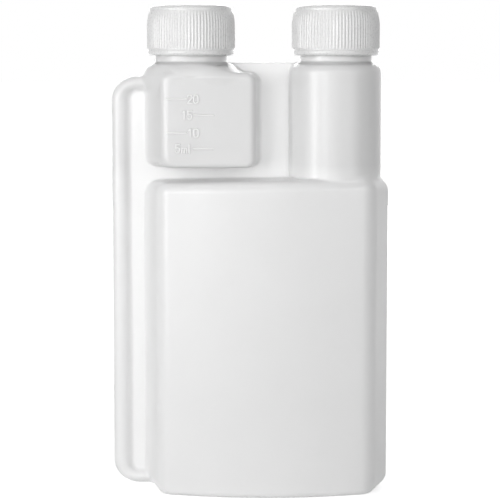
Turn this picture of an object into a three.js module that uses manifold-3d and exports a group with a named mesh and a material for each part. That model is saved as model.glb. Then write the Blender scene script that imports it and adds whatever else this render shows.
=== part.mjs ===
// Twin-neck dosing bottle: a blow-moulded reservoir with a filling column, a dosing chamber and a
// transfer tube in one hollow piece, two ribbed screw caps and their foam liners.
// Millimetres, +Z up, front towards -Y, origin on the ground under the middle of the bottle.

import * as THREE from 'three';
import * as BufferGeometryUtils from 'three/addons/utils/BufferGeometryUtils.js';
import Module from 'manifold-3d';

// Walls
const wall = 1.0;
const webThickness = 1.6;

// Reservoir
const reservoirWidth = 84.8;
const reservoirHeight = 108.7;
const reservoirHalfDepth = 13.8;
const reservoirCrown = 6;
const reservoirSideRun = 6;
const reservoirSideRadius = 5;
const reservoirTubeSideRadius = 6.6;
const reservoirUpperSideRadius = 5.5;
const reservoirCornerRadius = 9;
const reservoirRidgeRadius = 0.5;
const reservoirBaseRadius = 2.4;
const reservoirTopRadius = 3.9;
const reservoirTopSlope = 0.9;

// Transfer tube, in the plane of the web
const tubeWidth = 5.8;
const tubeDepth = 6.2;
const tubeRunHeight = 4.6;
const tubeOuterRadius = 8.8;
const tubeToReservoir = 5.0;
const tubeFootGap = 1.5;
const tubeBelowChamberTop = 1.4;
const tubeEntry = 6;

// Dosing chamber
const chamberWidth = 39.9;
const chamberHeight = 32.2;
const chamberGap = 4.3;
const chamberHalfDepth = 14.6;
const chamberCrown = 0.2;
const chamberOuterRun = 7.2;
const chamberInnerRun = 1.6;
const chamberOuterCorner = 3.7;
const chamberInnerCorner = 2.6;
const chamberRidgeRadius = 1;
const chamberBaseRadius = 1.6;
const chamberTopRadius = 2.2;
const chamberOuterSideRadius = 4.2;
const chamberInnerSideRadius = 2.8;
const chamberUpperSideRadius = 3.4;
const chamberShoulderFoot = 7;

// Filling column
const columnInset = 18.5;
const columnRadius = 15.9;
const columnFootRadius = 1.2;
const shoulderRise = 3.2;
const shoulderSpread = 3.8;
const shoulderDrop = 5;

// Threaded necks, one size for both
const neckSpacing = 49.6;
const neckRadius = 12.5;
const neckBore = 10.9;
const neckHeight = 16.9;
const rimRound = 0.4;
const threadPitch = 4.233;
const threadTurns = 1.5;
const threadDepth = 1.15;
const threadRoot = 1.9;
const threadCrest = 0.7;
const threadBelowRim = 2.6;
const threadBury = 0.4;
const threadStart = -90;

// Screw caps, one size for both
const capRadius = 15.1;
const capTopThickness = 1.4;
const capToShoulder = 2.45;
const capThreadClearance = 0.3;
const capThreadTurns = 1.25;
const capTaper = 0.75;
const capTaperHeight = 5.5;
const capTopRound = 1.2;
const capSkirtBand = 2.1;
const capSkirtChamfer = 0.35;
const ribCount = 84;
const ribHeight = 0.35;

// Liners
const linerThickness = 1.0;
const linerClearance = 0.35;

// Graduations on the chamber's front
const markRelief = 0.3;
const markStroke = 0.45;
const markLineLength = 6.6;
const markCharacterHeight = 2.8;
const markCharacterWidth = 1.5;
const markCharacterGap = 0.55;
const markLabelInset = 1.3;
const markHeights = [['5ml', 6.6], ['10', 11.9], ['15', 17.9], ['20', 23.3]];

// Smoothness of curved faces
const turnSegments = 36;
const cornerSteps = 4;
const crownSteps = 8;
const ridgeSteps = 2;
const roundSteps = 4;
const tubeSegments = 12;
const threadStepsPerTurn = 24;
const minimumRadius = 0.25;

// Places that follow from the sizes
const totalWidth = tubeWidth + tubeToReservoir + reservoirWidth;
const tubeX = -totalWidth / 2 + tubeWidth / 2;
const reservoirLeft = -totalWidth / 2 + tubeWidth + tubeToReservoir;
const reservoirRight = totalWidth / 2;
const columnX = reservoirRight - columnInset;
const chamberNeckX = columnX - neckSpacing;
const shoulderRadius = neckRadius + shoulderSpread;
const chamberLeft = chamberNeckX - shoulderRadius;
const chamberRight = chamberLeft + chamberWidth;
const chamberBottom = reservoirHeight + chamberGap;
const chamberTop = chamberBottom + chamberHeight;
const neckBase = chamberTop + shoulderRise;
const rimHeight = neckBase + neckHeight;
const capInsideTop = rimHeight + linerThickness;
const capBottom = neckBase + capToShoulder;
const capTop = capInsideTop + capTopThickness;
const threadRadius = neckRadius + threadDepth;
const capInnerRadius = threadRadius + capThreadClearance;
const capThreadRadius = neckRadius + capThreadClearance;
const tubeTopZ = chamberTop - tubeBelowChamberTop - tubeRunHeight / 2;
const tubeFootZ = tubeFootGap + tubeRunHeight / 2;
const tubeBend = tubeOuterRadius - tubeWidth / 2;

const wasm = await Module();
wasm.setup();

const radians = THREE.MathUtils.degToRad;

function toSolid(geometry) {
  const bare = geometry.clone();
  bare.deleteAttribute('normal');
  bare.deleteAttribute('uv');
  const merged = BufferGeometryUtils.mergeVertices(bare, 1e-4);
  return new wasm.Manifold(new wasm.Mesh({
    numProp: 3,
    vertProperties: new Float32Array(merged.attributes.position.array),
    triVerts: new Uint32Array(merged.index.array),
  }));
}

function toGeometry(solid) {
  const mesh = solid.getMesh();
  const geometry = new THREE.BufferGeometry();
  geometry.setAttribute('position', new THREE.BufferAttribute(mesh.vertProperties, 3));
  geometry.setIndex(new THREE.BufferAttribute(mesh.triVerts, 1));
  return geometry;
}

// Six times the volume that a triangle list encloses, negative when its faces point in.
function signedVolume(points, triangles) {
  let sum = 0;
  for (const [a, b, c] of triangles) {
    sum += points[a].dot(new THREE.Vector3().crossVectors(points[b], points[c]));
  }
  return sum;
}

// Closed solid through a row of rings with equal numbers of points, capped flat at both ends.
function loft(rings) {
  const count = rings[0].length;
  const points = rings.flat();
  const triangles = [];
  for (let k = 0; k + 1 < rings.length; k += 1) {
    for (let i = 0; i < count; i += 1) {
      const j = (i + 1) % count;
      const low = k * count;
      const high = low + count;
      triangles.push([low + i, low + j, high + j], [low + i, high + j, high + i]);
    }
  }
  for (const ring of [0, rings.length - 1]) {
    const centre = new THREE.Vector3();
    rings[ring].forEach((point) => centre.add(point));
    points.push(centre.divideScalar(count));
    const hub = points.length - 1;
    for (let i = 0; i < count; i += 1) {
      const here = ring * count + i;
      const next = ring * count + (i + 1) % count;
      triangles.push(ring === 0 ? [hub, next, here] : [hub, here, next]);
    }
  }
  if (signedVolume(points, triangles) < 0) {
    triangles.forEach((triangle) => triangle.reverse());
  }
  const geometry = new THREE.BufferGeometry().setFromPoints(points);
  geometry.setIndex(triangles.flat());
  return toSolid(geometry);
}

// A closed geometry as a solid with its faces pointing out.
function outward(geometry) {
  const position = geometry.attributes.position;
  const points = [];
  for (let i = 0; i < position.count; i += 1) {
    points.push(new THREE.Vector3().fromBufferAttribute(position, i));
  }
  const index = Array.from(geometry.index.array);
  const triangles = [];
  for (let i = 0; i < index.length; i += 3) {
    triangles.push(index.slice(i, i + 3));
  }
  if (signedVolume(points, triangles) < 0) {
    geometry.setIndex(triangles.flatMap((triangle) => triangle.reverse()));
  }
  return toSolid(geometry);
}

// Solid of revolution about a vertical line at x, from [radius, z] pairs that start and end on the axis.
function turned(profile, x) {
  const outline = profile.map(([radius, z]) => new THREE.Vector2(radius, z));
  const geometry = new THREE.LatheGeometry(outline, turnSegments);
  geometry.rotateX(Math.PI / 2);
  geometry.translate(x, 0, 0);
  return outward(geometry);
}

// Points of an arc, at angles counted from straight down towards +x.
function arcPoints(centre, radius, fromAngle, toAngle, steps) {
  const points = [];
  for (let k = 0; k <= steps; k += 1) {
    const angle = THREE.MathUtils.lerp(fromAngle, toAngle, k / steps);
    points.push([centre[0] + radius * Math.sin(angle), centre[1] - radius * Math.cos(angle)]);
  }
  return points;
}

// One side of a pack section: the ridge arc at the parting plane, the straight side that runs in to the
// front, and the corner arc that leads into the crowned front. Angles are those of the outward normal,
// 0 facing the front.
function sideOf(section, sign, inset) {
  const edge = sign < 0 ? section.left : section.right;
  const run = sign < 0 ? section.leftRun : section.rightRun;
  const corner = Math.max((sign < 0 ? section.leftCorner : section.rightCorner) - inset, minimumRadius);
  const ridge = Math.max(section.ridge - inset, minimumRadius);
  const normal = sign * Math.atan2(section.halfDepth, run);
  const nx = Math.sin(normal);
  const ny = -Math.cos(normal);
  const reach = nx * (edge - sign * section.ridge) + section.ridge - inset;
  const ridgeCentre = [(reach - ridge) / nx, 0];
  const crownRadius = crownRadiusOf(section) - inset;
  const crownCentre = crownCentreOf(section);
  const aside = nx * crownCentre[0] + ny * crownCentre[1] - (reach - corner);
  const along = -sign * Math.sqrt((crownRadius - corner) ** 2 - aside ** 2);
  const cornerCentre = [
    crownCentre[0] - aside * nx + along * Math.cos(normal),
    crownCentre[1] - aside * ny + along * Math.sin(normal),
  ];
  const meet = Math.atan2(cornerCentre[0] - crownCentre[0], crownCentre[1] - cornerCentre[1]);
  return { corner, ridge, normal, ridgeCentre, cornerCentre, meet };
}

function crownRadiusOf({ left, right, leftRun, rightRun, crown }) {
  const halfWidth = (right - rightRun - left - leftRun) / 2;
  return (halfWidth ** 2 + crown ** 2) / (2 * crown);
}

function crownCentreOf(section) {
  const { left, right, leftRun, rightRun, halfDepth, crown } = section;
  return [(left + leftRun + right - rightRun) / 2, crownRadiusOf(section) - halfDepth - crown];
}

// Outline of a pack section, front half and mirrored back half, drawn in by an inset.
function packOutline(section, inset) {
  const left = sideOf(section, -1, inset);
  const right = sideOf(section, 1, inset);
  const crownRadius = crownRadiusOf(section) - inset;
  const crown = arcPoints(crownCentreOf(section), crownRadius, left.meet, right.meet, crownSteps);
  const front = [
    ...arcPoints(left.ridgeCentre, left.ridge, -Math.PI / 2, left.normal, ridgeSteps),
    ...arcPoints(left.cornerCentre, left.corner, left.normal, left.meet, cornerSteps),
    ...crown.slice(1, -1),
    ...arcPoints(right.cornerCentre, right.corner, right.meet, right.normal, cornerSteps),
    ...arcPoints(right.ridgeCentre, right.ridge, right.normal, Math.PI / 2, ridgeSteps),
  ];
  const back = front.slice(1, -1).reverse().map(([x, y]) => [x, -y]);
  return [...front, ...back];
}

// How far a rounded edge has drawn in at a height above its lowest point.
function roundInset(height, radius) {
  const rise = Math.min(height, radius);
  return radius - Math.sqrt(Math.max(radius ** 2 - (radius - rise) ** 2, 0));
}

// Heights of the rings that carry a round of this radius, from its lowest point up.
function roundHeights(radius) {
  const heights = [];
  for (let k = 0; k <= roundSteps; k += 1) {
    heights.push(radius * (1 - Math.cos((Math.PI / 2) * (k / roundSteps))));
  }
  return heights;
}

// Ring of a pack body at a height where its front is rounded by one radius and its sides by others.
// A side draws in as a whole, or at the ridge alone: then its run to the front gets shorter and its
// corner sharper.
function packRing(section, inset, rise, frontRadius, leftRadius, rightRadius, heightAt) {
  const rounded = (radius) => roundInset(rise, Math.max(radius - inset, minimumRadius));
  const front = rounded(frontRadius);
  const leftShift = Math.max(rounded(leftRadius) - front, 0);
  const rightShift = Math.max(rounded(rightRadius) - front, 0);
  const leftRun = section.ridgeAlone ? section.leftRun - leftShift : section.leftRun;
  const rightRun = section.ridgeAlone ? section.rightRun - rightShift : section.rightRun;
  const ring = packOutline({
    ...section,
    left: section.left + leftShift,
    right: section.right - rightShift,
    leftRun,
    rightRun,
    leftCorner: section.leftCorner * (leftRun / section.leftRun),
    rightCorner: section.rightCorner * (rightRun / section.rightRun),
  }, inset + front);
  return ring.map(([x, y]) => new THREE.Vector3(x, y, heightAt(x)));
}

// Pack body between a flat foot and a flat or sloping top, drawn in by an inset all round.
function packBody({ section, foot, topAt, lower, upper }, inset) {
  const rings = [];
  for (const rise of roundHeights(Math.max(...lower) - inset)) {
    rings.push(packRing(section, inset, rise, ...lower, () => foot + inset + rise));
  }
  for (const drop of roundHeights(Math.max(...upper) - inset).reverse()) {
    rings.push(packRing(section, inset, drop, ...upper, (x) => topAt(x) - inset - drop));
  }
  return loft(rings);
}

// Height of the reservoir's sloping top at x.
function reservoirTopAt(x) {
  return reservoirHeight + Math.tan(radians(reservoirTopSlope)) * x;
}

// Reservoir: 0 for its outside, the wall for its hollow.
function reservoir(inset) {
  return packBody({
    section: {
      left: reservoirLeft,
      right: reservoirRight,
      leftRun: reservoirSideRun,
      rightRun: reservoirSideRun,
      halfDepth: reservoirHalfDepth,
      crown: reservoirCrown,
      leftCorner: reservoirCornerRadius,
      rightCorner: reservoirCornerRadius,
      ridge: reservoirRidgeRadius,
      ridgeAlone: true,
    },
    foot: 0,
    topAt: reservoirTopAt,
    lower: [reservoirBaseRadius, reservoirTubeSideRadius, reservoirSideRadius],
    upper: [reservoirTopRadius, reservoirUpperSideRadius, reservoirUpperSideRadius],
  }, inset);
}

// Box of the dosing chamber.
function chamberBox(inset) {
  return packBody({
    section: {
      left: chamberLeft,
      right: chamberRight,
      leftRun: chamberOuterRun,
      rightRun: chamberInnerRun,
      halfDepth: chamberHalfDepth,
      crown: chamberCrown,
      leftCorner: chamberOuterCorner,
      rightCorner: chamberInnerCorner,
      ridge: chamberRidgeRadius,
      ridgeAlone: false,
    },
    foot: chamberBottom,
    topAt: () => chamberTop,
    lower: [chamberBaseRadius, chamberOuterSideRadius, chamberInnerSideRadius],
    upper: [chamberTopRadius, chamberUpperSideRadius, chamberUpperSideRadius],
  }, inset);
}

// Shoulder between the round neck and the flatter chamber: ellipses that widen downwards, and a foot
// that runs back into the chamber's side.
function chamberShoulder(inset) {
  const widest = neckBase - shoulderDrop;
  const spreadDepth = chamberHalfDepth - neckRadius;
  const footWidth = shoulderRadius - chamberOuterRun / 2;
  const rings = [ellipse(chamberNeckX, footWidth - inset, neckRadius - inset, widest - chamberShoulderFoot)];
  for (let k = 0; k <= 2 * roundSteps; k += 1) {
    const angle = (Math.PI / 2) * (k / (2 * roundSteps));
    rings.push(ellipse(
      chamberNeckX,
      neckRadius + shoulderSpread * Math.cos(angle) - inset,
      neckRadius + spreadDepth * Math.cos(angle) - inset,
      widest + shoulderDrop * Math.sin(angle) - inset,
    ));
  }
  return loft(rings);
}

function ellipse(x, halfWidth, halfDepth, z) {
  const ring = [];
  for (let k = 0; k < turnSegments; k += 1) {
    const angle = (2 * Math.PI * k) / turnSegments;
    ring.push(new THREE.Vector3(x + halfWidth * Math.cos(angle), halfDepth * Math.sin(angle), z));
  }
  return ring;
}

// Filling column from inside the reservoir's top up to the neck, with a rounded foot and shoulder.
function column(inset) {
  const foot = reservoirTopAt(columnX - columnRadius);
  const footReach = columnRadius - columnFootRadius - inset;
  const profile = [[0, foot - reservoirTopRadius], [footReach, foot - reservoirTopRadius]];
  for (let k = 0; k <= roundSteps; k += 1) {
    const angle = (Math.PI / 2) * (k / roundSteps);
    profile.push([
      footReach + columnFootRadius * Math.sin(angle),
      foot + columnFootRadius * (1 - Math.cos(angle)),
    ]);
  }
  const spread = columnRadius - neckRadius;
  for (let k = 0; k <= roundSteps + 1; k += 1) {
    const angle = (Math.PI / 2) * (k / (roundSteps + 1));
    profile.push([
      neckRadius + spread * Math.cos(angle) - inset,
      neckBase - spread * (1 - Math.sin(angle)) - inset,
    ]);
  }
  profile.push([0, neckBase - inset]);
  return turned(profile, columnX);
}

// Helical ridge of a thread: a trapezoid that follows the helix and fades out at both ends.
function threadRidge({ x, rootRadius, crestRadius, topZ, turns }) {
  const steps = Math.round(turns * threadStepsPerTurn);
  const fade = threadStepsPerTurn / 8;
  const rings = [];
  for (let k = 0; k <= steps; k += 1) {
    const turn = k / threadStepsPerTurn;
    const angle = radians(threadStart) - 2 * Math.PI * turn;
    const height = Math.min(1, (k + 0.25) / fade, (steps - k + 0.25) / fade);
    const crest = THREE.MathUtils.lerp(rootRadius, crestRadius, height);
    const buried = rootRadius - Math.sign(crestRadius - rootRadius) * threadBury;
    const z = topZ - turn * threadPitch;
    const section = [
      [buried, -threadRoot / 2],
      [crest, -threadCrest / 2],
      [crest, threadCrest / 2],
      [buried, threadRoot / 2],
    ];
    rings.push(section.map(([radius, rise]) => new THREE.Vector3(
      x + radius * Math.cos(angle),
      radius * Math.sin(angle),
      z + rise,
    )));
  }
  return loft(rings);
}

// Threaded neck on the shoulder below it.
function neck(x) {
  const tube = turned([
    [0, neckBase - wall],
    [neckRadius, neckBase - wall],
    [neckRadius, rimHeight - rimRound],
    [neckRadius - rimRound, rimHeight],
    [0, rimHeight],
  ], x);
  const ridge = threadRidge({
    x,
    rootRadius: neckRadius,
    crestRadius: threadRadius,
    topZ: rimHeight - threadBelowRim,
    turns: threadTurns,
  });
  return tube.add(ridge);
}

// Bore of a neck, from below its shoulder to past its rim.
function neckHollow(x) {
  return turned([
    [0, chamberTop - shoulderDrop],
    [neckBore, chamberTop - shoulderDrop],
    [neckBore, rimHeight + wall],
    [0, rimHeight + wall],
  ], x);
}

// Transfer tube along the web's edge: from the chamber's top, round two bends, to the reservoir's foot.
function transferTube(inset) {
  const stations = [{ x: chamberLeft + tubeEntry, z: tubeTopZ, angle: 0 }];
  const bends = [
    { z: tubeTopZ - tubeBend, from: 0 },
    { z: tubeFootZ + tubeBend, from: 90 },
  ];
  for (const { z, from } of bends) {
    for (let k = 0; k <= 2 * roundSteps; k += 1) {
      const angle = radians(from + (90 * k) / (2 * roundSteps));
      stations.push({
        x: tubeX + tubeBend - tubeBend * Math.sin(angle),
        z: z + tubeBend * Math.cos(angle),
        angle,
      });
    }
  }
  stations.push({ x: reservoirLeft + tubeEntry, z: tubeFootZ, angle: Math.PI });
  const rings = stations.map(({ x, z, angle }) => {
    const upright = Math.sin(angle) ** 2;
    const half = THREE.MathUtils.lerp(tubeRunHeight, tubeWidth, upright) / 2 - inset;
    const depth = tubeDepth / 2 - inset;
    const ring = [];
    for (let k = 0; k < tubeSegments; k += 1) {
      const round = (2 * Math.PI * k) / tubeSegments;
      const across = half * Math.cos(round);
      ring.push(new THREE.Vector3(
        x - across * Math.sin(angle),
        depth * Math.sin(round),
        z + across * Math.cos(angle),
      ));
    }
    return ring;
  });
  return loft(rings);
}

// Pinched web in the parting plane, which joins the tube, the reservoir, the chamber and the column.
function web() {
  const shape = new THREE.Shape([
    new THREE.Vector2(tubeX, tubeFootZ + tubeBend),
    new THREE.Vector2(tubeX + tubeBend, tubeFootZ),
    new THREE.Vector2(reservoirLeft + tubeEntry, tubeFootZ),
    new THREE.Vector2(reservoirLeft + tubeEntry, reservoirHeight - reservoirTopRadius),
    new THREE.Vector2(columnX, reservoirHeight - reservoirTopRadius),
    new THREE.Vector2(columnX, neckBase),
    new THREE.Vector2(chamberNeckX, neckBase),
    new THREE.Vector2(chamberNeckX, tubeTopZ),
    new THREE.Vector2(tubeX + tubeBend, tubeTopZ),
    new THREE.Vector2(tubeX, tubeTopZ - tubeBend),
  ]);
  const geometry = new THREE.ExtrudeGeometry(shape, { depth: webThickness, bevelEnabled: false });
  geometry.rotateX(Math.PI / 2);
  geometry.translate(0, webThickness / 2, 0);
  return toSolid(geometry);
}

// Strokes of the raised characters in widths and heights of a character, as [x0, z0, x1, z1].
const characters = {
  0: [[0, 0, 1, 0], [1, 0, 1, 1], [1, 1, 0, 1], [0, 1, 0, 0]],
  1: [[0.5, 0, 0.5, 1]],
  2: [[0, 1, 1, 1], [1, 1, 1, 0.55], [1, 0.55, 0, 0], [0, 0, 1, 0]],
  5: [[1, 1, 0, 1], [0, 1, 0, 0.55], [0, 0.55, 1, 0.55], [1, 0.55, 1, 0], [1, 0, 0, 0]],
  m: [[0, 0, 0, 0.55], [0, 0.55, 1.1, 0.55], [0.55, 0.55, 0.55, 0], [1.1, 0.55, 1.1, 0]],
  l: [[0.4, 0, 0.4, 1]],
};

// One straight raised stroke on the chamber's front.
function stroke(x0, z0, x1, z1) {
  const length = Math.hypot(x1 - x0, z1 - z0) + markStroke;
  const thickness = markRelief + wall / 2;
  const front = chamberHalfDepth + chamberCrown + markRelief;
  const geometry = new THREE.BoxGeometry(length, thickness, markStroke);
  geometry.rotateY(-Math.atan2(z1 - z0, x1 - x0));
  geometry.translate((x0 + x1) / 2, thickness / 2 - front, (z0 + z1) / 2);
  return toSolid(geometry);
}

// A label with its line. By turns the line is on the label's right and on its left.
function graduation([label, height], index) {
  const z = chamberBottom + height;
  const pitch = markCharacterWidth + markCharacterGap;
  const lineOnLeft = index % 2 === 1;
  const lineX = lineOnLeft ? chamberNeckX - markLineLength - markLabelInset : chamberNeckX + markLabelInset;
  const labelX = lineOnLeft
    ? lineX + markLineLength + markCharacterGap
    : lineX - label.length * pitch;
  const strokes = [stroke(lineX, z, lineX + markLineLength, z)];
  [...label].forEach((character, place) => {
    const left = labelX + place * pitch;
    const foot = z - markCharacterHeight / 2;
    for (const [x0, z0, x1, z1] of characters[character]) {
      strokes.push(stroke(
        left + x0 * markCharacterWidth,
        foot + z0 * markCharacterHeight,
        left + x1 * markCharacterWidth,
        foot + z1 * markCharacterHeight,
      ));
    }
  });
  return strokes.reduce((all, one) => all.add(one));
}

function bottle() {
  const outside = [
    reservoir(0),
    chamberBox(0),
    chamberShoulder(0),
    column(0),
    transferTube(0),
    web(),
    neck(chamberNeckX),
    neck(columnX),
    ...markHeights.map(graduation),
  ].reduce((all, one) => all.add(one));
  const hollow = [
    reservoir(wall),
    chamberBox(wall),
    chamberShoulder(wall),
    column(wall),
    transferTube(wall),
    neckHollow(chamberNeckX),
    neckHollow(columnX),
  ].reduce((all, one) => all.add(one));
  return outside.subtract(hollow);
}

// Ring of a cap's outside: its ribs stand out by the given height.
function capRing(x, radius, height, z) {
  const ring = [];
  for (let k = 0; k < 2 * ribCount; k += 1) {
    const angle = (Math.PI * k) / ribCount;
    const reach = k % 2 === 0 ? radius : radius - height;
    ring.push(new THREE.Vector3(x + reach * Math.cos(angle), reach * Math.sin(angle), z));
  }
  return ring;
}

function screwCap(x) {
  const bandTop = capBottom + capSkirtBand;
  const taperStart = capTop - capTopRound - capTaperHeight;
  const outside = loft([
    capRing(x, capRadius - capSkirtChamfer, 0, capBottom),
    capRing(x, capRadius - ribHeight, 0, capBottom + capSkirtChamfer),
    capRing(x, capRadius - ribHeight, 0, bandTop),
    capRing(x, capRadius, ribHeight, bandTop + ribHeight),
    capRing(x, capRadius, ribHeight, taperStart),
    capRing(x, capRadius - capTaper, ribHeight / 2, capTop - capTopRound),
    capRing(x, capRadius - capTaper - capTopRound / 4, 0, capTop - capTopRound / 3),
    capRing(x, capRadius - capTaper - capTopRound, 0, capTop),
  ]);
  const inside = turned([
    [0, capBottom - wall],
    [capInnerRadius, capBottom - wall],
    [capInnerRadius, capInsideTop],
    [0, capInsideTop],
  ], x);
  const ridge = threadRidge({
    x,
    rootRadius: capInnerRadius,
    crestRadius: capThreadRadius,
    topZ: rimHeight - threadBelowRim - threadPitch / 2,
    turns: capThreadTurns,
  });
  return outside.subtract(inside).add(ridge);
}

function liner(x) {
  return turned([
    [0, rimHeight],
    [capInnerRadius - linerClearance, rimHeight],
    [capInnerRadius - linerClearance, capInsideTop],
    [0, capInsideTop],
  ], x);
}

const milkyPlastic = new THREE.MeshStandardMaterial({ color: 0xe4e6e6, roughness: 0.45, metalness: 0 });
const whitePlastic = new THREE.MeshStandardMaterial({ color: 0xf2f2f0, roughness: 0.38, metalness: 0 });
const foam = new THREE.MeshStandardMaterial({ color: 0xefede6, roughness: 0.9, metalness: 0 });

const group = new THREE.Group();

function addPiece(name, solid, material) {
  const mesh = new THREE.Mesh(toGeometry(solid), material);
  mesh.name = name;
  group.add(mesh);
}

addPiece('bottle', bottle(), milkyPlastic);
addPiece('dosing_cap', screwCap(chamberNeckX), whitePlastic);
addPiece('filling_cap', screwCap(columnX), whitePlastic);
addPiece('dosing_cap_liner', liner(chamberNeckX), foam);
addPiece('filling_cap_liner', liner(columnX), foam);

export default group;
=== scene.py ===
"""Looks of the dosing bottle: a smooth blow-moulded bottle of milky plastic, two fine-ribbed screw caps,
their foam liners, and plain studio light. Shapes are worked out in millimetres and made in metres."""

import math

import bpy
import numpy as np
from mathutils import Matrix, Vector


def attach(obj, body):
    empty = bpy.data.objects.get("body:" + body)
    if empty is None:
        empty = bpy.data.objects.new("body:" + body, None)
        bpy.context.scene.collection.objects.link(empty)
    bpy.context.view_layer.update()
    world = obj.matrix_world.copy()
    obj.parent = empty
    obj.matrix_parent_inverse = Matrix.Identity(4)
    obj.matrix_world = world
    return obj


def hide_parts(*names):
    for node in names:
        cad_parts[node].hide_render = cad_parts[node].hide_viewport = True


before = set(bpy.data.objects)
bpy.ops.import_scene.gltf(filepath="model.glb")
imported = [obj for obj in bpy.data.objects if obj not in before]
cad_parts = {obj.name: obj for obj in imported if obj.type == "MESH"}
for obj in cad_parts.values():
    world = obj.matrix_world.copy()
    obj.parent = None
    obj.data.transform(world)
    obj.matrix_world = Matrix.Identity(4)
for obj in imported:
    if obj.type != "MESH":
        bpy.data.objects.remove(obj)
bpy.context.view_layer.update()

# One millimetre in metres, and what keeps a division away from zero
MM = 0.001
SMALL = 1e-3
TINY = 1e-6

# Sizes below are in millimetres, the same as the frame's
WALL = 1.0
WEB = 1.6

# Pack bodies: left and right are the ridges, run is how far it is from a ridge to the front's edge, and the
# depth there grows by crown in the middle. Lower and upper hold the edge radii of the front, the left side
# and the right side. Where ridge_alone is 1, the ridge draws in at the ends and the front's edge stays.
RESERVOIR = dict(
    left=-37.0, right=47.8, left_run=6.0, right_run=6.0, left_corner=9.0, right_corner=9.0,
    depth=13.8, crown=6.0, ridge=0.5, ridge_alone=1,
    foot=0.0, top=108.7, slope=math.tan(math.radians(0.9)),
    lower=(2.4, 6.6, 5.0), upper=(3.9, 5.5, 5.5),
)
CHAMBER = dict(
    left=-36.6, right=3.3, left_run=7.2, right_run=1.6, left_corner=3.7, right_corner=2.6,
    depth=14.6, crown=0.2, ridge=1.0, ridge_alone=0,
    foot=113.0, top=145.2, slope=0.0,
    lower=(1.6, 4.2, 2.8), upper=(2.2, 3.4, 3.4),
)
LEAST_RUN = 0.3

# Necks, the column under the right one, and the shoulder under the left one
CHAMBER_X = -20.3
COLUMN_X = 29.3
COLUMN_R = 15.9
COLUMN_FOOT = 108.91
COLUMN_FOOT_EDGE = 1.3
COLUMN_ROOT_R = COLUMN_R - 1.2
COLUMN_ROOT_FOOT = COLUMN_FOOT - 3.9
COLUMN_ROOT_TOP = COLUMN_FOOT + 2.0
NECK_R = 12.5
NECK_BORE_R = 10.9
NECK_BORE_FOOT = 140.2
NECK_FOOT = 148.4
NECK_ROOT = NECK_FOOT - 3.0
RIM = 165.3
RIM_EDGE = 0.4
DOME_DROP = 5.0
DOME_SPREAD = (3.8, 2.1)
DOME_TAPER = 7.0
DOME_SQUARING = 2.5
DOME_SQUARE_START = -8.0
DOME_SQUARE_REACH = 10.0

# Transfer tube and web; the tube follows the left part of a rounded frame of this half width
TUBE_X = -44.9
TUBE_TOP = 141.5
TUBE_FOOT = 3.8
TUBE_MIDDLE = (TUBE_TOP + TUBE_FOOT) / 2
TUBE_BEND = 5.9
TUBE_FRAME_HALF = 80.0
TUBE_HALF_WIDTH = 2.3
TUBE_UPRIGHT_EXTRA = 0.6
TUBE_HALF_DEPTH = 3.1
TUBE_LOWER_END = -31.0
TUBE_UPPER_END = -30.6
WEB_LEFT = TUBE_X + 4.0
WEB_FOOT = 104.8
WEB_UPPER_FOOT = 130.0
WEB_EDGE = 0.35

# Rounds where the bottle's forms meet
SHOULDER_ROUND = 3.0
SHOULDER_COSINE = 0.97
LEFT_NECK_ROUND = 0.5
RIGHT_NECK_ROUND = 0.7
FOOTING_ROUND = 0.35
FOOTING_GROWTH = 1.65
FOOTING_REACH = 1.1 * COLUMN_R
WEB_ROUND = 0.6
TUBE_ROUND = 1.1
BORE_ROUND = 0.8
LIP_EDGE = 0.3

# Threads: each starts at this angle, blunt, and grows to its full height over this share of a turn
THREAD_PITCH = 4.233
THREAD_DEPTH = 1.15
THREAD_TOP = RIM - 2.6
THREAD_START = math.radians(-90)
THREAD_BLUNT = 0.1
THREAD_FADE = 1 / 8
THREAD_HALF = 0.95
THREAD_FLANK = 0.6
NECK_TURNS = 1.5
CAP_TURNS = 1.25

# Caps: a rounded lip, a plain band with a groove above it, ribs up to the edge, and a dished top
CAP_FOOT = 150.85
CAP_TOP = 167.7
CAP_BORE_R = 13.95
CAP_CEILING = 166.3
CAP_WALL_R = 14.97
LIP = [(13.95, 0.25), (14.02, 0.07), (14.2, 0.0)]
LIP_R = 14.1
LIP_ROUND = 0.95
BAND = [(15.05, 152.2), (15.0, 152.45), (14.9, 152.6), (14.9, 152.75), (14.97, 152.95)]
RIBS = 84
RIB_POINTS = 6
RIB_HEIGHT = 0.13
RIB_FOOT = 153.0
RIB_TOP = 166.2
RIB_RISE = 0.6
RIB_FALL = 2.4
CAP_WALL_FOOT = RIB_FOOT + 0.1
CAP_WALL_STEP = 0.3
CAP_BORE_FOOT = CAP_FOOT + 0.35
CAP_BORE_TOP = CAP_CEILING - 0.3
CAP_BORE_STEP = 0.24
TOP_EDGE_R = 13.1
TOP_EDGE_ROUND = 1.2
LEAN = 0.75
LEAN_TOP = CAP_TOP - TOP_EDGE_ROUND
LEAN_RUN = 5.5
LEAN_POWER = 1.6
DISH = [(12.0, 0.0), (11.6, 0.05), (11.3, 0.2), (11.0, 0.25), (6.0, 0.25), (1.4, 0.25), (1.1, 0.4),
        (0.5, 0.45)]
CEILING = [(13.9, 0.12), (13.8, 0.0), (9.0, 0.0), (0.6, 0.0)]

# Graduations: label, height, and the side of the chamber's middle that the line is on
MARKS = [("5ml", 119.6, 1), ("10", 124.9, -1), ("15", 130.9, 1), ("20", 136.3, -1)]
LETTER_HEIGHT = 2.8
LETTER_WIDTH = 1.5
LETTER_GAP = 0.55
LINE_LENGTH = 6.6
LINE_INSET = 1.3
STROKE_HALF = 0.27
MARK_HEIGHT = 0.3
MARK_EDGE = 0.2
MARK_ROOT = 0.35

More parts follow.
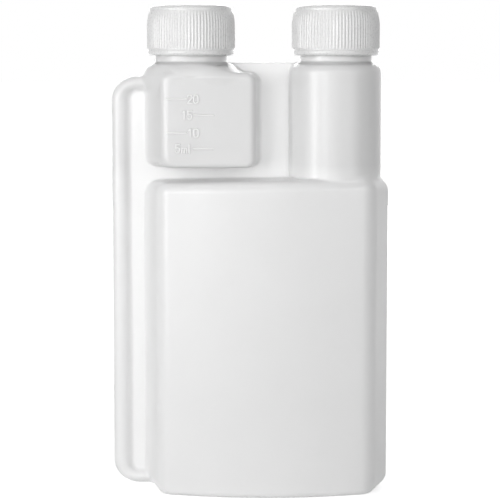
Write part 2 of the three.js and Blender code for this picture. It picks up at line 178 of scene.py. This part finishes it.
# Strokes of each character in shares of its width and height; an arc is centre, radii, first and last angle
GLYPHS = {
    "0": [("arc", 0.5, 0.72, 0.5, 0.28, 0, 180), ("line", 0, 0.72, 0, 0.28),
          ("arc", 0.5, 0.28, 0.5, 0.28, 180, 360), ("line", 1, 0.28, 1, 0.72)],
    "1": [("line", 0.6, 0, 0.6, 1), ("line", 0.6, 1, 0.2, 0.78)],
    "2": [("arc", 0.5, 0.72, 0.48, 0.28, -20, 170), ("line", 0.95, 0.62, 0, 0), ("line", 0, 0, 1, 0)],
    "5": [("line", 0.92, 1, 0.12, 1), ("line", 0.12, 1, 0.06, 0.56),
          ("arc", 0.44, 0.32, 0.52, 0.32, -145, 115)],
    "m": [("line", 0, 0, 0, 0.62), ("arc", 0.28, 0.38, 0.28, 0.22, 0, 180),
          ("line", 0.56, 0.38, 0.56, 0), ("arc", 0.84, 0.38, 0.28, 0.22, 0, 180),
          ("line", 1.12, 0.38, 1.12, 0)],
    "l": [("line", 0.3, 0, 0.3, 1)],
}

# The bottle's mesh: grid lines as (from, to, step), finer where the shape turns, and the most triangles
GRID_X = [(-48.6, -26, 0.5), (-26, -2, 0.8), (-2, 20, 0.5), (20, 38, 0.8), (38, 48.6, 0.5)]
GRID_Y = [(-20.6, -12, 0.45), (-12, -3.6, 0.7), (-3.6, 3.6, 0.45), (3.6, 12, 0.7), (12, 20.6, 0.45)]
GRID_Z = [(-0.5, 6.5, 0.45), (6.5, 101, 2.7), (101, 118, 0.45), (118, 139, 1.0), (139, 166, 0.45)]
BOTTLE_TRIANGLES = 190000

# The graduations' mesh: a fine grid with a margin round the strokes, and its depth as (from, to, step)
MARK_GRID = 0.11
MARK_MARGIN = 0.5
MARK_GRID_Y = (-15.3, -14.1, 0.1)


def hard(a, b, radius, cosine=0.0):
    """Overlap of two forms with their edge rounded; cosine is that of the angle between their normals."""
    u, v = a + radius, b + radius
    edge = (u - cosine * v > 0) & (v - cosine * u > 0)
    far = np.sqrt(np.maximum(u * u + v * v - 2 * cosine * u * v, 0) / (1 - cosine * cosine)) - radius
    return np.where(edge, far, np.maximum(a, b))


def join(a, b, radius, cosine=0.0):
    """Union of two forms with a hollow round of this radius along the line where they meet."""
    return -hard(-a, -b, radius, cosine)


def drawn_in(rise, radius):
    """How far an edge of this radius draws a side in, at this height above the end."""
    low = np.clip(rise, 0, radius)
    return radius - np.sqrt(np.maximum(radius ** 2 - (radius - low) ** 2, 0))


def pack_form(x, y, z, pack):
    """Distance to a pack body: a crowned front and back, sides that run in from a ridge, rounded ends."""
    depth = np.abs(y)
    top = pack["top"] + pack["slope"] * x
    low = z - pack["foot"] < top - z
    rise = np.minimum(z - pack["foot"], top - z)
    fronts = np.where(low, drawn_in(rise, pack["lower"][0]), drawn_in(rise, pack["upper"][0]))
    half = (pack["right"] - pack["right_run"] - pack["left"] - pack["left_run"]) / 2
    middle = (pack["right"] - pack["right_run"] + pack["left"] + pack["left_run"]) / 2
    crown_r = (half ** 2 + pack["crown"] ** 2) / (2 * pack["crown"])
    section = np.hypot(x - middle, depth + crown_r - pack["depth"] - pack["crown"]) - crown_r
    for side, sign, slot in (("left", -1, 1), ("right", 1, 2)):
        sides = np.where(low, drawn_in(rise, pack["lower"][slot]), drawn_in(rise, pack["upper"][slot]))
        shift = np.maximum(sides - fronts, 0)
        run = np.maximum(pack[side + "_run"] - pack["ridge_alone"] * shift, LEAST_RUN)
        long = np.hypot(pack["depth"], run)
        nx, ny = pack["depth"] / long, run / long
        proud = pack["ridge"] * (1 / nx - 1)
        soft = np.sqrt(depth ** 2 + (proud * nx / ny) ** 2)
        flank = nx * (sign * (x - pack[side]) + shift - proud) + ny * soft
        cosine = nx * half / crown_r + ny * math.sqrt(1 - (half / crown_r) ** 2)
        section = hard(section, flank, pack[side + "_corner"] * run / pack[side + "_run"], cosine)
    body = hard(section, pack["foot"] - z, pack["lower"][0])
    return hard(body, z - top, pack["upper"][0])


def dome_form(x, y, z):
    """Shoulder between the round neck and the wider, flatter chamber, squarer on its right."""
    dx = x - CHAMBER_X
    radius = np.maximum(np.hypot(dx, y), SMALL)
    spread = np.hypot(DOME_SPREAD[0] * dx / radius, DOME_SPREAD[1] * y / radius)
    rightward = np.clip((dx - DOME_SQUARE_START) / DOME_SQUARE_REACH, 0, 1)
    square = 2 + DOME_SQUARING * rightward * np.clip((NECK_FOOT - z) / DOME_DROP, 0, 1)
    radius = radius * ((np.abs(dx) / radius) ** square + (np.abs(y) / radius) ** square) ** (1 / square)
    centre = NECK_FOOT - DOME_DROP
    px = np.maximum(radius - NECK_R, 0) + SMALL
    pz = np.maximum(z - centre, 0) + SMALL
    near = np.hypot(px / spread, pz / DOME_DROP)
    steep = np.hypot(px / spread ** 2, pz / DOME_DROP ** 2)
    upper = near * (near - 1) / steep
    lower = radius - NECK_R - spread * (1 - np.clip((centre - z) / DOME_TAPER, 0, 1))
    side = np.where(z > centre, np.maximum(upper, radius - NECK_R - spread), lower)
    return np.maximum(side, centre - DOME_TAPER - z)


def column_form(x, y, z):
    """Filling column under the right neck, with a narrower root that reaches into the reservoir."""
    radius = np.hypot(x - COLUMN_X, y)
    main = hard(radius - COLUMN_R, z - NECK_FOOT, COLUMN_R - NECK_R)
    main = hard(main, COLUMN_FOOT - z, COLUMN_FOOT_EDGE)
    root = np.maximum(radius - COLUMN_ROOT_R, np.maximum(z - COLUMN_ROOT_TOP, COLUMN_ROOT_FOOT - z))
    return np.minimum(main, root)


def thread(angle, z, top, turns):
    """Height of a helical ridge, 0 to 1, at an angle and a height on a neck or in a cap."""
    turn = (THREAD_START - angle) / (2 * math.pi)
    turn = turn + np.round((top - z) / THREAD_PITCH - turn)
    inside = np.clip(np.minimum(turn, turns - turn) / THREAD_FADE + THREAD_BLUNT, 0, 1)
    off = np.abs(z - top + turn * THREAD_PITCH)
    flank = np.clip((THREAD_HALF - off) / THREAD_FLANK, 0, 1)
    return inside * flank * flank * (3 - 2 * flank)


def neck_form(x, y, z, centre, thread_slope=0.7):
    """Threaded neck; the distance to its wall is scaled down, as it reads too long on the thread's flanks."""
    radius = np.hypot(x - centre, y)
    angle = np.arctan2(y, x - centre)
    wall = radius - NECK_R - THREAD_DEPTH * thread(angle, z, THREAD_TOP, NECK_TURNS)
    return np.maximum(hard(wall * thread_slope, z - RIM, RIM_EDGE), NECK_ROOT - z)


def tube_form(x, y, z):
    """Transfer tube: an oval section along the left part of a rounded frame."""
    frame_half_height = (TUBE_TOP - TUBE_FOOT) / 2
    qx = np.abs(x - TUBE_X - TUBE_FRAME_HALF) - TUBE_FRAME_HALF + TUBE_BEND
    qz = np.abs(z - TUBE_MIDDLE) - frame_half_height + TUBE_BEND
    corner = np.hypot(np.maximum(qx, 0), np.maximum(qz, 0))
    path = corner + np.minimum(np.maximum(qx, qz), 0) - TUBE_BEND
    upright = np.clip((qx + TINY) / np.maximum(corner, TINY), 0, 1)
    wide = TUBE_HALF_WIDTH + TUBE_UPRIGHT_EXTRA * upright ** 2
    near = np.hypot(path / wide, y / TUBE_HALF_DEPTH) + TINY
    steep = np.hypot(path / wide ** 2, y / TUBE_HALF_DEPTH ** 2) + TINY
    oval = near * (near - 1) / steep
    end = np.where(z > TUBE_MIDDLE, TUBE_UPPER_END, TUBE_LOWER_END)
    return np.maximum(oval, x - end)


def rectangle(x, z, left, right, foot, top):
    """Rectangle in the parting plane."""
    return np.maximum(np.maximum(left - x, x - right), np.maximum(foot - z, z - top))


def web_form(x, y, z):
    """Pinched web in the parting plane: beside the reservoir, above it, and between the necks."""
    beside = rectangle(x, z, TUBE_X, TUBE_LOWER_END, TUBE_FOOT, TUBE_TOP)
    past_side = np.maximum(TUBE_X + TUBE_BEND - x, 0)
    past_end = np.maximum(np.abs(z - TUBE_MIDDLE) - (TUBE_TOP - TUBE_FOOT) / 2 + TUBE_BEND, 0)
    beside = np.maximum(beside, np.hypot(past_side, past_end) - TUBE_BEND)
    above = rectangle(x, z, WEB_LEFT, COLUMN_X, WEB_FOOT, TUBE_TOP)
    between = rectangle(x, z, CHAMBER_X, COLUMN_X, WEB_UPPER_FOOT, NECK_FOOT)
    plate = np.minimum(np.minimum(beside, above), between)
    return hard(plate, np.abs(y) - WEB / 2, WEB_EDGE)


def bottle_form(x, y, z):
    """Whole bottle: its outside less its hollow, which lies one wall inside and opens at both necks."""
    reservoir = pack_form(x, y, z, RESERVOIR)
    chamber = pack_form(x, y, z, CHAMBER)
    dome = dome_form(x, y, z)
    column = column_form(x, y, z)
    tube = tube_form(x, y, z)
    left_neck = neck_form(x, y, z, CHAMBER_X)
    right_neck = neck_form(x, y, z, COLUMN_X)
    facing = (y ** 2 / np.maximum((x - CHAMBER_X) ** 2 + y ** 2, SMALL)) ** 2
    shoulder = join(chamber, dome, SHOULDER_ROUND, SHOULDER_COSINE * facing)
    footing = np.clip((x - COLUMN_X + COLUMN_R) / FOOTING_REACH, 0, 1)
    column_all = join(column, right_neck, RIGHT_NECK_ROUND)
    outside = join(reservoir, column_all, FOOTING_ROUND + FOOTING_GROWTH * footing)
    outside = np.minimum(outside, join(shoulder, left_neck, LEFT_NECK_ROUND))
    outside = join(outside, web_form(x, y, z), WEB_ROUND)
    outside = join(outside, tube, TUBE_ROUND)
    hollow = np.minimum(np.minimum(reservoir, column), np.minimum(chamber, dome))
    hollow = np.minimum(hollow, tube) + WALL
    for centre in (CHAMBER_X, COLUMN_X):
        bore = np.maximum(np.hypot(x - centre, y) - NECK_BORE_R, NECK_BORE_FOOT - z)
        hollow = join(hollow, bore, BORE_ROUND)
    return hard(outside, -hollow, LIP_EDGE)


def gradient(form, points, step=0.04):
    """Slope of a form at each point, from its values a step ahead and a step behind."""
    slopes = []
    for axis in range(3):
        ahead, behind = points.copy(), points.copy()
        ahead[:, axis] += step
        behind[:, axis] -= step
        slopes.append((form(*ahead.T) - form(*behind.T)) / (2 * step))
    return np.stack(slopes, 1)


def settle(form, points, rounds, reach, least_slope=0.05):
    """Points moved onto the form's surface, and the surface's normals there."""
    for _ in range(rounds):
        slope = gradient(form, points)
        size = np.maximum((slope ** 2).sum(1), least_slope)
        move = slope * (form(*points.T) / size)[:, None]
        points = points - np.clip(move, -reach, reach)
    slope = gradient(form, points)
    return points, slope / np.maximum(np.linalg.norm(slope, axis=1), TINY)[:, None]


def skin(form, xs, ys, zs):
    """Quads over a form's surface on a grid of uneven steps: one point in each cell that it crosses."""
    value = form(xs[:, None, None], ys[None, :, None], zs[None, None, :]).astype(np.float32)
    full = value < 0
    shape = tuple(n - 1 for n in full.shape)
    total = np.zeros(shape + (3,), np.float32)
    count = np.zeros(shape, np.float32)
    grids = [xs, ys, zs]
    quads = []
    crossings = []
    for axis in range(3):
        low = [slice(None)] * 3
        high = [slice(None)] * 3
        low[axis], high[axis] = slice(None, -1), slice(1, None)
        a, b = value[tuple(low)], value[tuple(high)]
        cut = full[tuple(low)] != full[tuple(high)]
        index = np.argwhere(cut)
        part = a[cut] / (a[cut] - b[cut])
        place = np.stack([grids[k][index[:, k]] for k in range(3)], 1)
        place[:, axis] += part * (grids[axis][index[:, axis] + 1] - grids[axis][index[:, axis]])
        others = [k for k in range(3) if k != axis]
        crossings.append((axis, others, index, full[tuple(low)][cut]))
        for da in (0, -1):
            for db in (0, -1):
                cell = index.copy()
                cell[:, others[0]] += da
                cell[:, others[1]] += db
                good = ((cell >= 0) & (cell < np.array(shape))).all(1)
                spot = tuple(cell[good].T)
                np.add.at(total, spot, place[good])
                np.add.at(count, spot, 1)
    used = count > 0
    number = np.full(shape, -1, np.int64)
    number[used] = np.arange(used.sum())
    points = (total[used] / count[used][:, None]).astype(np.float64)
    for axis, others, index, out in crossings:
        corners = []
        for da, db in ((-1, -1), (0, -1), (0, 0), (-1, 0)):
            cell = index.copy()
            cell[:, others[0]] += da
            cell[:, others[1]] += db
            corners.append(number[tuple(cell.T)])
        quad = np.stack(corners, 1)
        flip = out if axis != 1 else ~out
        quad[~flip] = quad[~flip][:, ::-1]
        quads.append(quad)
    return points, np.concatenate(quads)


def grid_lines(stretches):
    """Grid lines along one axis: each stretch is (from, to, step)."""
    lines = []
    for low, high, step in stretches:
        lines.append(np.linspace(low, high, max(1, round((high - low) / step)), endpoint=False))
    return np.concatenate(lines + [[stretches[-1][1]]])


def mesh_object(name, points, faces, normals=None):
    """Smooth-shaded object from points in millimetres and faces that all have as many corners."""
    mesh = bpy.data.meshes.new(name)
    count, corners = faces.shape
    mesh.vertices.add(len(points))
    mesh.vertices.foreach_set("co", (points * MM).astype(np.float32).ravel())
    mesh.loops.add(faces.size)
    mesh.loops.foreach_set("vertex_index", faces.astype(np.int32).ravel())
    mesh.polygons.add(count)
    mesh.polygons.foreach_set("loop_start", np.arange(0, faces.size, corners, dtype=np.int32))
    mesh.polygons.foreach_set("use_smooth", np.ones(count, bool))
    mesh.update(calc_edges=True)
    mesh.validate()
    piece = bpy.data.objects.new(name, mesh)
    bpy.context.scene.collection.objects.link(piece)
    if normals is not None:
        mesh.normals_split_custom_set_from_vertices(normals.tolist())
    return piece


def thinned(name, points, faces, most):
    """Triangles of a fine skin, brought down to at most this many where it is flat."""
    piece = mesh_object(name, points, faces)
    limit = piece.modifiers.new("thin", "DECIMATE")
    limit.ratio = min(1.0, most / (2 * len(faces)))
    limit.use_collapse_triangulate = True
    view = piece.evaluated_get(bpy.context.evaluated_depsgraph_get())
    data = view.to_mesh()
    data.calc_loop_triangles()
    spots = np.zeros(len(data.vertices) * 3)
    data.vertices.foreach_get("co", spots)
    corners = np.zeros(len(data.loop_triangles) * 3, np.int32)
    data.loop_triangles.foreach_get("vertices", corners)
    view.to_mesh_clear()
    old = piece.data
    bpy.data.objects.remove(piece)
    bpy.data.meshes.remove(old)
    return spots.reshape(-1, 3) / MM, corners.reshape(-1, 3)


def cap_outline():
    """Radius, height and rib height of each ring up the outside of a cap, from its lip to its middle."""
    outline = [(radius, CAP_FOOT + rise, 0) for radius, rise in LIP]
    quarter = np.linspace(0, math.pi / 2, 7)
    for turn in quarter:
        outline.append((LIP_R + LIP_ROUND * math.sin(turn), CAP_FOOT + LIP_ROUND * (1 - math.cos(turn)), 0))
    outline += [(radius, z, 0) for radius, z in BAND]
    for z in np.arange(CAP_WALL_FOOT, LEAN_TOP, CAP_WALL_STEP):
        lean = LEAN * max(0.0, (z - LEAN_TOP + LEAN_RUN) / LEAN_RUN) ** LEAN_POWER
        rise = min(1.0, max(0.0, (z - RIB_FOOT) / RIB_RISE))
        fall = min(1.0, max(0.0, (RIB_TOP - z) / RIB_FALL))
        outline.append((CAP_WALL_R - lean, z, RIB_HEIGHT * rise * fall))
    for turn in quarter:
        radius = TOP_EDGE_R + TOP_EDGE_ROUND * math.cos(turn)
        outline.append((radius, LEAN_TOP + TOP_EDGE_ROUND * math.sin(turn), 0))
    return outline + [(radius, CAP_TOP - drop, 0) for radius, drop in DISH]


def ring(angle, radius, z):
    """Points round a cap's axis at one height; the radius may change with the angle."""
    return np.stack([radius * np.cos(angle), radius * np.sin(angle), np.full_like(angle, z)], 1)


def cap_points(centre):
    """Screw cap as rings from the lip up the ribbed outside to the top, and from the lip up the bore."""
    count = RIBS * RIB_POINTS
    angle = np.arange(count) / count * 2 * math.pi
    rib = np.cos(angle * RIBS)
    outside = [ring(angle, radius + height * rib, z) for radius, z, height in cap_outline()]
    inside = []
    for z in np.arange(CAP_BORE_FOOT, CAP_BORE_TOP, CAP_BORE_STEP):
        ridge = thread(angle, z, THREAD_TOP - THREAD_PITCH / 2, CAP_TURNS)
        inside.append(ring(angle, CAP_BORE_R - THREAD_DEPTH * ridge, z))
    inside += [ring(angle, radius, CAP_CEILING - drop) for radius, drop in CEILING]
    rows = inside[::-1] + outside
    middles = np.array([[0, 0, CAP_CEILING], [0, 0, CAP_TOP - DISH[-1][1]]])
    points = np.concatenate(rows + [middles])
    here = np.arange(count)
    following = (here + 1) % count
    bands = []
    for row in range(len(rows) - 1):
        low, high = row * count, (row + 1) * count
        bands.append(np.stack([low + here, low + following, high + following, high + here], 1))
    quads = np.concatenate(bands)
    last = (len(rows) - 1) * count
    hub = len(rows) * count
    ceiling = np.stack([np.full(count, hub), following, here], 1)
    top = np.stack([np.full(count, hub + 1), last + here, last + following], 1)
    points[:, 0] += centre
    return points, np.concatenate([quads[:, [0, 1, 2]], quads[:, [0, 2, 3]], ceiling, top])


def mark_strokes():
    """Straight bits of every graduation line and character, as x0, z0, x1, z1 on the chamber's front."""
    bits = []
    step = LETTER_WIDTH + LETTER_GAP
    for label, z, side in MARKS:
        line_x = CHAMBER_X + LINE_INSET if side > 0 else CHAMBER_X - LINE_LENGTH - LINE_INSET
        text_x = line_x - len(label) * step if side > 0 else line_x + LINE_LENGTH + LETTER_GAP
        bits.append((line_x, z, line_x + LINE_LENGTH, z))
        for place, character in enumerate(label):
            left, foot = text_x + place * step, z - LETTER_HEIGHT / 2
            for kind, *v in GLYPHS[character]:
                if kind == "line":
                    bits.append((left + v[0] * LETTER_WIDTH, foot + v[1] * LETTER_HEIGHT,
                                 left + v[2] * LETTER_WIDTH, foot + v[3] * LETTER_HEIGHT))
                    continue
                turns = np.radians(np.linspace(v[4], v[5], 9))
                xs = left + (v[0] + v[2] * np.cos(turns)) * LETTER_WIDTH
                zs = foot + (v[1] + v[3] * np.sin(turns)) * LETTER_HEIGHT
                bits += list(zip(xs[:-1], zs[:-1], xs[1:], zs[1:]))
    return bits


def chamber_front(x, z):
    """Depth of the chamber's front face, found by closing in on the form's surface."""
    y = np.full(np.broadcast(x, z).shape, -CHAMBER["depth"] - 0.1)
    x, z = x + 0 * y, z + 0 * y
    for _ in range(4):
        y = y + pack_form(x, y, z, CHAMBER)
    return y


def marks_form(bits):
    """Form of the raised strokes, with round edges and a root in the chamber's wall."""
    def form(x, y, z):
        flat = np.full(np.broadcast(x, z).shape, 9.0)
        for x0, z0, x1, z1 in bits:
            dx, dz = x1 - x0, z1 - z0
            along = np.clip(((x - x0) * dx + (z - z0) * dz) / (dx * dx + dz * dz), 0, 1)
            flat = np.minimum(flat, np.hypot(x - x0 - along * dx, z - z0 - along * dz))
        proud = chamber_front(x, z) - y
        body = hard(flat - STROKE_HALF, proud - MARK_HEIGHT, MARK_EDGE)
        return np.maximum(body, -MARK_ROOT - proud)
    return form


def make_bottle():
    """The bottle's skin: fine quads, thinned to triangles, with every point put back on the form."""
    points, faces = skin(bottle_form, grid_lines(GRID_X), grid_lines(GRID_Y), grid_lines(GRID_Z))
    points, _ = settle(bottle_form, points, rounds=2, reach=0.25)
    points, faces = thinned("bottle_fine", points, faces, most=BOTTLE_TRIANGLES)
    points, normals = settle(bottle_form, points, rounds=2, reach=0.1)
    points[:, 2] = np.maximum(points[:, 2], RESERVOIR["foot"])
    return mesh_object("bottle_skin", points, faces, normals)


def make_marks():
    """The graduations, raised on the chamber's front."""
    bits = mark_strokes()
    ends = np.array(bits)
    across, up = ends[:, [0, 2]], ends[:, [1, 3]]
    xs = np.arange(across.min() - MARK_MARGIN, across.max() + MARK_MARGIN, MARK_GRID)
    zs = np.arange(up.min() - MARK_MARGIN, up.max() + MARK_MARGIN, MARK_GRID)
    points, faces = skin(marks_form(bits), xs, np.arange(*MARK_GRID_Y), zs)
    return mesh_object("bottle_graduations", points, faces)


def make_cap(side, centre):
    """One ribbed cap on its neck's axis."""
    points, faces = cap_points(centre)
    return mesh_object(side + "_cap_ribbed", points, faces)


def new_material(name):
    """Material with its node tree and its shader."""
    material = bpy.data.materials.new(name)
    material.use_nodes = True
    return material, material.node_tree, material.node_tree.nodes["Principled BSDF"]


def calculated(tree, operation, *sources):
    """Result of a maths node on these outputs."""
    node = tree.nodes.new("ShaderNodeMath")
    node.operation = operation
    for place, source in enumerate(sources):
        tree.links.new(source, node.inputs[place])
    return node.outputs[0]


def graded(tree, source, low, high, first, last):
    """Output that goes from first to last as the source goes from low to high."""
    node = tree.nodes.new("ShaderNodeMapRange")
    for name, value in (("From Min", low), ("From Max", high), ("To Min", first), ("To Max", last)):
        node.inputs[name].default_value = value
    tree.links.new(source, node.inputs["Value"])
    return node.outputs["Result"]


def noise(tree, place, scale, detail):
    """Even noise of this scale over the object."""
    node = tree.nodes.new("ShaderNodeTexNoise")
    node.inputs["Scale"].default_value = scale
    node.inputs["Detail"].default_value = detail
    tree.links.new(place.outputs["Object"], node.inputs["Vector"])
    return node.outputs["Fac"]


def ramp(tree, source, first, last, low=0.0, high=1.0):
    """Colour that goes from first to last as the source goes from low to high."""
    node = tree.nodes.new("ShaderNodeValToRGB")
    for element, colour, position in zip(node.color_ramp.elements, (first, last), (low, high)):
        element.position = position
        element.color = tuple(colour) + (1,)
    tree.links.new(source, node.inputs["Fac"])
    return node.outputs["Color"]


def roughened(tree, shader, source, strength, hollow=False):
    """Fine relief on the shader's surface, 0.2 mm at full strength."""
    bump = tree.nodes.new("ShaderNodeBump")
    bump.invert = hollow
    bump.inputs["Strength"].default_value = strength
    bump.inputs["Distance"].default_value = 0.2 * MM
    tree.links.new(source, bump.inputs["Height"])
    tree.links.new(bump.outputs["Normal"], shader.inputs["Normal"])


def colour_socket(sockets, name):
    """Colour socket of a mix node, which has number and vector sockets of the same name too."""
    return next(socket for socket in sockets if socket.name == name and socket.type == "RGBA")


def painted_shade_above(tree, place, colour, share):
    """Colour taken down by this share above the reservoir, apart from the web: painted shade on the bottle's
    upper parts.
    """
    parts = tree.nodes.new("ShaderNodeSeparateXYZ")
    tree.links.new(place.outputs["Object"], parts.inputs[0])
    above = graded(tree, parts.outputs["Z"], low=108 * MM, high=114 * MM, first=0.0, last=share)
    depth = calculated(tree, "ABSOLUTE", parts.outputs["Y"])
    off_web = graded(tree, depth, low=1 * MM, high=4 * MM, first=0.0, last=1.0)
    mix = tree.nodes.new("ShaderNodeMix")
    mix.data_type = "RGBA"
    colour_socket(mix.inputs, "B").default_value = (0.0, 0.0, 0.0, 1)
    tree.links.new(calculated(tree, "MULTIPLY", above, off_web), mix.inputs["Factor"])
    tree.links.new(colour, colour_socket(mix.inputs, "A"))
    return colour_socket(mix.outputs, "Result")


def plastic(name, colour, patchy, roughness, subsurface, depth, grain, relief, upper=0.0):
    """Moulded plastic: faint cloudiness in its colour and gloss, and a fine surface texture; upper is a share
    of painted shade above the reservoir.
    """
    material, tree, shader = new_material(name)
    shader.inputs["Subsurface Weight"].default_value = subsurface
    shader.inputs["Subsurface Radius"].default_value = (1.0, 1.0, 1.0)
    shader.inputs["Subsurface Scale"].default_value = depth
    shader.inputs["IOR"].default_value = 1.5
    shader.inputs["Specular IOR Level"].default_value = 0.75
    place = tree.nodes.new("ShaderNodeTexCoord")
    dark, light = [c * (1 - patchy) for c in colour], [c * (1 + patchy) for c in colour]
    tint = ramp(tree, noise(tree, place, scale=45, detail=4), dark, light, low=0.3, high=0.7)
    # Painted shade: where upper is given, the colour is darkened by this share on the chamber, column,
    # shoulder and necks.
    if upper:
        tint = painted_shade_above(tree, place, tint, upper)
    tree.links.new(tint, shader.inputs["Base Color"])
    speckle = noise(tree, place, scale=grain, detail=3)
    gloss = graded(tree, speckle, low=0.0, high=1.0, first=roughness - 0.04, last=roughness + 0.04)
    tree.links.new(gloss, shader.inputs["Roughness"])
    roughened(tree, shader, speckle, relief)
    return material


def foam(name, colour):
    """Closed-cell foam: small round cells over a matt face."""
    material, tree, shader = new_material(name)
    shader.inputs["Roughness"].default_value = 0.85
    place = tree.nodes.new("ShaderNodeTexCoord")
    cells = tree.nodes.new("ShaderNodeTexVoronoi")
    cells.inputs["Scale"].default_value = 2200
    tree.links.new(place.outputs["Object"], cells.inputs["Vector"])
    tint = ramp(tree, cells.outputs["Distance"], [c * 1.04 for c in colour], [c * 0.9 for c in colour])
    tree.links.new(tint, shader.inputs["Base Color"])
    roughened(tree, shader, cells.outputs["Distance"], strength=0.5, hollow=True)
    return material


def plastic_piece(piece, body, material, node=None):
    """Piece of this material on its body; where a node is named, the piece stands for it."""
    if node:
        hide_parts(node)
    piece.data.materials.append(material)
    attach(piece, body)


def seen_white(tree):
    """1 where the camera, a gloss or a clear surface looks at a surface, and 0 for other rays."""
    rays = tree.nodes.new("ShaderNodeLightPath").outputs
    seen = calculated(tree, "MAXIMUM", rays["Is Camera Ray"], rays["Is Glossy Ray"])
    return calculated(tree, "MAXIMUM", seen, rays["Is Transmission Ray"])


def make_floor(half):
    """Pale floor whose glow grows to the backdrop's white further from the object."""
    mesh = bpy.data.meshes.new("floor")
    corners = [(-half, -half, 0), (half, -half, 0), (half, half, 0), (-half, half, 0)]
    mesh.from_pydata(corners, [], [(0, 1, 2, 3)])
    floor = bpy.data.objects.new("floor", mesh)
    bpy.context.scene.collection.objects.link(floor)
    material, tree, shader = new_material("pale_floor")
    shader.inputs["Base Color"].default_value = (0.8, 0.8, 0.8, 1)
    shader.inputs["Roughness"].default_value = 0.9
    shader.inputs["Specular IOR Level"].default_value = 0.0
    shader.inputs["Emission Color"].default_value = (1, 1, 1, 1)
    place = tree.nodes.new("ShaderNodeTexCoord")
    away = tree.nodes.new("ShaderNodeVectorMath")
    away.operation = "LENGTH"
    tree.links.new(place.outputs["Object"], away.inputs[0])
    pale = graded(tree, away.outputs["Value"], low=0.08, high=0.34, first=0.62, last=1.0)
    glow = calculated(tree, "MULTIPLY", seen_white(tree), pale)
    tree.links.new(glow, shader.inputs["Emission Strength"])
    floor.data.materials.append(material)


def make_world(light_strength):
    """Weak even light on the object, in front of a backdrop that is seen white."""
    world = bpy.data.worlds.new("studio")
    bpy.context.scene.world = world
    world.use_nodes = True
    tree = world.node_tree
    light = tree.nodes["Background"]
    backdrop = tree.nodes.new("ShaderNodeBackground")
    for source, strength in ((light, light_strength), (backdrop, 1.0)):
        source.inputs["Color"].default_value = (1, 1, 1, 1)
        source.inputs["Strength"].default_value = strength
    mix = tree.nodes.new("ShaderNodeMixShader")
    tree.links.new(seen_white(tree), mix.inputs[0])
    tree.links.new(light.outputs[0], mix.inputs[1])
    tree.links.new(backdrop.outputs[0], mix.inputs[2])
    tree.links.new(mix.outputs[0], tree.nodes["World Output"].inputs["Surface"])


def turned_to(piece, aim):
    """Rotation that points a camera or a lamp at this place."""
    return (Vector(aim) - piece.location).to_track_quat("-Z", "Y").to_euler()


def make_camera(location, aim, focal_pixels, photo_pixels, sensor=36):
    """Camera with the photo's view, whose focal length is given in the photo's pixels."""
    data = bpy.data.cameras.new("camera")
    camera = bpy.data.objects.new("camera", data)
    bpy.context.scene.collection.objects.link(camera)
    camera.location = location
    camera.rotation_euler = turned_to(camera, aim)
    data.sensor_width = sensor
    data.lens = sensor * focal_pixels / photo_pixels
    bpy.context.scene.camera = camera


def make_lamp(name, azimuth, elevation, width, height, watts, distance=1.1, aim=(0, 0, 0.08)):
    """Soft box at this distance from the object's middle and pointed at it."""
    data = bpy.data.lights.new(name, "AREA")
    data.shape = "RECTANGLE"
    data.size = width
    data.size_y = height
    data.energy = watts
    lamp = bpy.data.objects.new(name, data)
    bpy.context.scene.collection.objects.link(lamp)
    turn, rise = math.radians(azimuth), math.radians(elevation)
    out = distance * math.cos(rise)
    lamp.location = (out * math.sin(turn), -out * math.cos(turn), aim[2] + distance * math.sin(rise))
    lamp.rotation_euler = turned_to(lamp, aim)


# Pieces and their materials
bottle = make_bottle()
marks = make_marks()
caps = {"dosing": make_cap("dosing", CHAMBER_X), "filling": make_cap("filling", COLUMN_X)}
# The milky plastic carries painted shade: upper=0.12 darkens it above the reservoir, away from the web.
milky = plastic("milky_polyethylene", (0.87, 0.87, 0.87), patchy=0.01, roughness=0.33, subsurface=0.9,
                depth=1.4 * MM, grain=900, relief=0.04, upper=0.12)
white = plastic("white_polypropylene", (0.75, 0.75, 0.75), patchy=0.008, roughness=0.28, subsurface=0.3,
                depth=0.8 * MM, grain=1500, relief=0.02)
raised = plastic("raised_marks", (0.88, 0.88, 0.88), patchy=0.008, roughness=0.3, subsurface=0.0,
                 depth=0.8 * MM, grain=1500, relief=0.05)
liner_foam = foam("foam_liner", (0.84, 0.835, 0.82))

plastic_piece(bottle, "bottle", milky, "bottle")
plastic_piece(marks, "bottle", raised)
for side, cap in caps.items():
    plastic_piece(cap, side + "_cap", white, side + "_cap")
    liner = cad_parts[side + "_cap_liner"]
    liner.data.materials.clear()
    liner.data.materials.append(liner_foam)

# Stage and camera, in metres
make_floor(half=8)
make_world(light_strength=0.1)
make_camera((-0.0001, -0.6262, 0.1527), (-0.0001, 0, 0.0836), focal_pixels=1812, photo_pixels=500)
bpy.context.scene.view_settings.view_transform = "Standard"

# Soft boxes: name, azimuth from the front towards +X and elevation in degrees, width and height, watts
LAMPS = [
    ("highlight", -54, 6, 0.26, 0.36, 3.1),
    ("left_front", -28, 12, 0.34, 0.6, 3.2),
    ("front", -3, 12, 0.5, 0.6, 1.6),
    ("right_front", 35, 12, 0.5, 0.6, 1.9),
    ("right_back", 135, 15, 0.6, 0.6, 0.7),
    ("back", 180, 15, 1.0, 0.8, 8.5),
    ("above", 0, 80, 0.8, 0.8, 1.5),
]
for lamp in LAMPS:
    make_lamp(*lamp)
